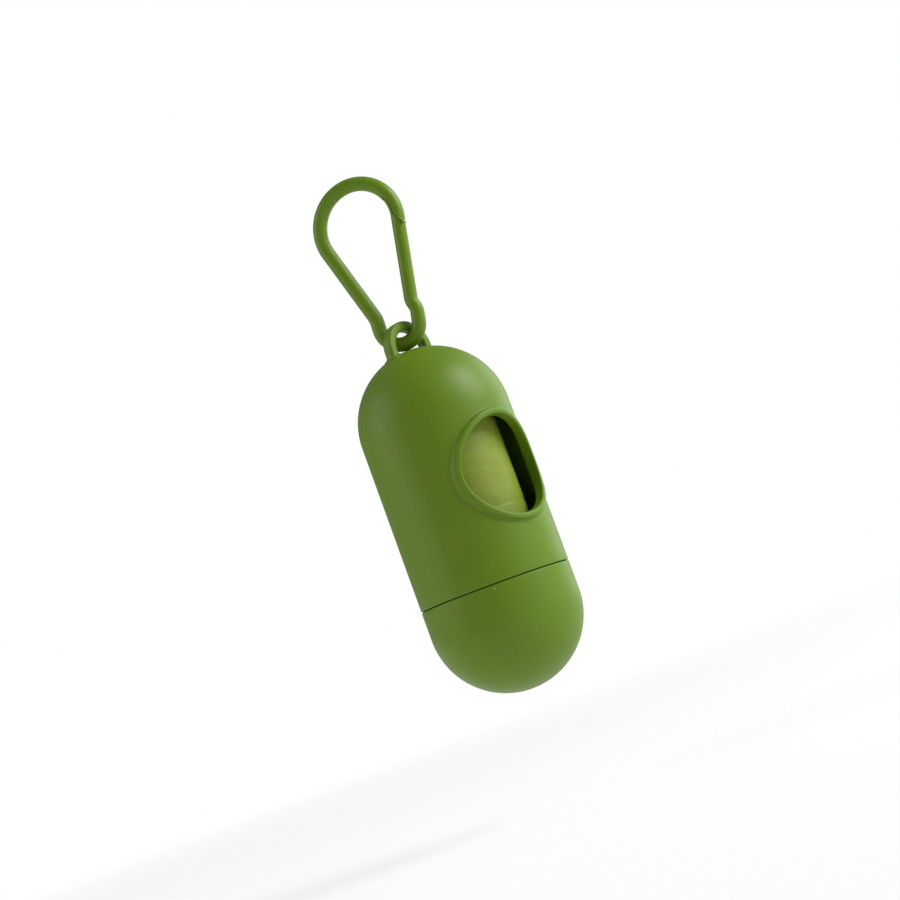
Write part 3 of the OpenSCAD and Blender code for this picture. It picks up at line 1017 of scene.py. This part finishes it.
class DISPENSER_OT_case(bpy.types.Operator):
    """Build the case with its window, hanging loop and inner thread"""

    bl_idname = "dispenser.case"
    bl_label = "Case"

    def execute(self, context):
        """Makes the case's pieces and puts them on the case."""
        capsule = context.scene.dispenser_capsule
        material = ready_material("case_green_plastic")
        inside = capsule.radius - capsule.wall
        base = seam_height() + 2.1 * MM
        pieces = [
            make_case_shell(capsule, material),
            make_case_loop(capsule, material),
            make_thread("case_thread", capsule, inside, base, thread_tree(), material),
        ]
        for piece in pieces:
            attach(piece, "case")
            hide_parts("upper_case")
        return {"FINISHED"}


class DISPENSER_OT_cap(bpy.types.Operator):
    """Build the screw cap with its collar, outer thread and moulding nib"""

    bl_idname = "dispenser.cap"
    bl_label = "Screw Cap"

    def execute(self, context):
        """Makes the cap's pieces and puts them on the cap."""
        capsule = context.scene.dispenser_capsule
        material = ready_material("case_green_plastic")
        collar = capsule.radius - capsule.wall - capsule.thread_room
        base = seam_height() + 2.1 * MM + capsule.thread_lead / 4
        pieces = [
            make_cap_shell(capsule, material),
            make_cap_nib(capsule, material),
            make_thread("cap_thread", capsule, collar, base, thread_tree(), material),
        ]
        for piece in pieces:
            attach(piece, "cap")
            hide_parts("screw_cap")
        return {"FINISHED"}


class DISPENSER_OT_clip(bpy.types.Operator):
    """Build the snap clip's frame and its gate"""

    bl_idname = "dispenser.clip"
    bl_label = "Snap Clip"

    def execute(self, context):
        """Makes the clip's two pieces and puts the frame on the clip."""
        clip = context.scene.dispenser_clip
        plan = ClipPlan(clip)
        material = ready_material("clip_green_plastic")
        clip_frame = make_clip_frame(clip, plan, material)
        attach(clip_frame, "clip")
        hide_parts("carabiner_frame")
        gate = make_clip_gate(clip, plan, material)
        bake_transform(gate)
        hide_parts("carabiner_gate")
        return {"FINISHED"}


class DISPENSER_OT_bags(bpy.types.Operator):
    """Build the bags of the roll as wound film"""

    bl_idname = "dispenser.bags"
    bl_label = "Bags"

    def execute(self, context):
        """Makes one piece of film for each bag."""
        roll = context.scene.dispenser_roll
        material = ready_material("bag_film_green")
        tree = film_tree()
        pieces = [make_outer_bag(roll, material)]
        pieces += [make_inner_bag(number, roll, tree, material) for number in range(1, len(BAGS))]
        for name, piece in zip(BAGS, pieces):
            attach(piece, "bags")
            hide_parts(name)
        return {"FINISHED"}


class DISPENSER_OT_tube(bpy.types.Operator):
    """Build the cardboard tube in the middle of the roll"""

    bl_idname = "dispenser.tube"
    bl_label = "Roll Tube"

    def execute(self, context):
        """Makes the tube."""
        roll = context.scene.dispenser_roll
        piece = make_roll_tube(roll, ready_material("tube_cardboard"))
        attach(piece, "core")
        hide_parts("roll_core")
        return {"FINISHED"}


def soft_lamp(name, place, target, size, power):
    """A square soft lamp at a place, facing a target."""
    light = bpy.data.lights.new(name, "AREA")
    light.shape = "SQUARE"
    light.size = size
    light.energy = power
    lamp = bpy.data.objects.new(name, light)
    bpy.context.scene.collection.objects.link(lamp)
    aim = (target - place).to_track_quat("-Z", "Y")
    lamp.matrix_world = Matrix.Translation(place) @ aim.to_matrix().to_4x4()


def make_floor():
    """A wide floor a little below the hanging dispenser."""
    floor_z = BOX_BEFORE[0][2] - 0.03
    ring = [(4.0 * math.cos(t), 4.0 * math.sin(t), floor_z) for t in ring_angles(96)]
    mesh = bpy.data.meshes.new("floor")
    mesh.from_pydata(ring, [], [tuple(range(len(ring)))])
    mesh.materials.append(ready_material("floor_paper"))
    link_object("floor", mesh)


def make_world(scene):
    """An even pale surround that reads white to the camera."""
    world = bpy.data.worlds.new("studio")
    world.use_nodes = True
    scene.world = world
    world.node_tree.nodes.clear()
    bench = NodeBench(world.node_tree)
    path = bench.node("ShaderNodeLightPath").outputs
    dim = bench.value("ShaderNodeBackground", {"Color": WHITE, "Strength": 0.24})
    white = bench.value("ShaderNodeBackground", {"Color": WHITE, "Strength": 1.0})
    mix = bench.value("ShaderNodeMixShader", {0: path["Is Camera Ray"], 1: dim, 2: white})
    bench.node("ShaderNodeOutputWorld", {"Surface": mix})


def make_camera(scene):
    """The camera at the photograph's angle, from the fit of the capsule's outline."""
    data = bpy.data.cameras.new("camera")
    data.lens = 80.0
    data.sensor_width = 36.0
    data.clip_start = 0.01
    camera = bpy.data.objects.new("camera", data)
    scene.collection.objects.link(camera)
    seam = seam_height()
    right = Vector((0.68915625, -0.63877012, -0.34210582))
    up = Vector((0.17443765, -0.31198969, 0.93393466))
    back = -Vector((0.70330304, 0.70330304, 0.10358409))
    place = Vector((-361.879, -363.539, -16.341)) * MM + Vector((0.0, 0.0, seam))
    turn = Matrix((right, up, back)).transposed().to_4x4()
    camera.matrix_world = Matrix.Translation(place) @ turn
    scene.camera = camera
    return camera


def make_lamps(camera):
    """A large key lamp up to the camera's right, a wide fill and a weak rim lamp."""
    target = Vector((0.0, 0.0, CASE_HIGH[2] - 0.04))
    right, up, back = camera.matrix_world.to_3x3().transposed()
    soft_lamp("key", target + right * 0.52 + up * 0.70 + back * 0.10, target, 0.55, 8.5)
    soft_lamp("fill", target - right * 0.75 + up * 0.1 + back * 0.05, target, 0.6, 2.4)
    soft_lamp("rim", target - back * 0.5 + right * 0.45 + up * 0.3, target, 0.5, 1.6)


class DISPENSER_OT_stage(bpy.types.Operator):
    """Build the floor, the soft lamps, the world and the camera"""

    bl_idname = "dispenser.stage"
    bl_label = "Stage"

    def execute(self, context):
        """Makes everything that isn't part of the dispenser."""
        scene = context.scene
        scene.view_settings.view_transform = "Standard"
        make_floor()
        make_world(scene)
        make_lamps(make_camera(scene))
        return {"FINISHED"}


class DISPENSER_PT_panel(bpy.types.Panel):
    """Buttons and sizes of the dispenser"""

    bl_label = "Bag Dispenser"
    bl_idname = "DISPENSER_PT_panel"
    bl_space_type = "VIEW_3D"
    bl_region_type = "UI"
    bl_category = "Dispenser"

    def draw(self, context):
        """Lists the operators and the settings."""
        for step in STEPS:
            self.layout.operator(step)
        for group in GROUPS:
            box = self.layout.box()
            settings = getattr(context.scene, group)
            for key in settings.__annotations__:
                box.prop(settings, key)


OPERATORS = (
    DISPENSER_OT_case,
    DISPENSER_OT_cap,
    DISPENSER_OT_clip,
    DISPENSER_OT_tube,
    DISPENSER_OT_bags,
    DISPENSER_OT_stage,
)
STEPS = [operator.bl_idname for operator in OPERATORS]
GROUPS = {
    "dispenser_capsule": DispenserCapsule,
    "dispenser_clip": DispenserClip,
    "dispenser_roll": DispenserRoll,
    "dispenser_finish": DispenserFinish,
}
CLASSES = (*GROUPS.values(), *OPERATORS, DISPENSER_PT_panel)


def register():
    """Adds the classes and the scene's settings."""
    for cls in CLASSES:
        bpy.utils.register_class(cls)
    for name, group in GROUPS.items():
        setattr(bpy.types.Scene, name, bpy.props.PointerProperty(type=group))


def unregister():
    """Takes the settings and the classes away."""
    for name in GROUPS:
        delattr(bpy.types.Scene, name)
    for cls in reversed(CLASSES):
        bpy.utils.unregister_class(cls)


def main():
    """Builds every piece and the stage."""
    register()
    for step in STEPS:
        group, name = step.split(".")
        getattr(getattr(bpy.ops, group), name)()
    bpy.context.view_layer.update()


if __name__ == "__main__":
    main()
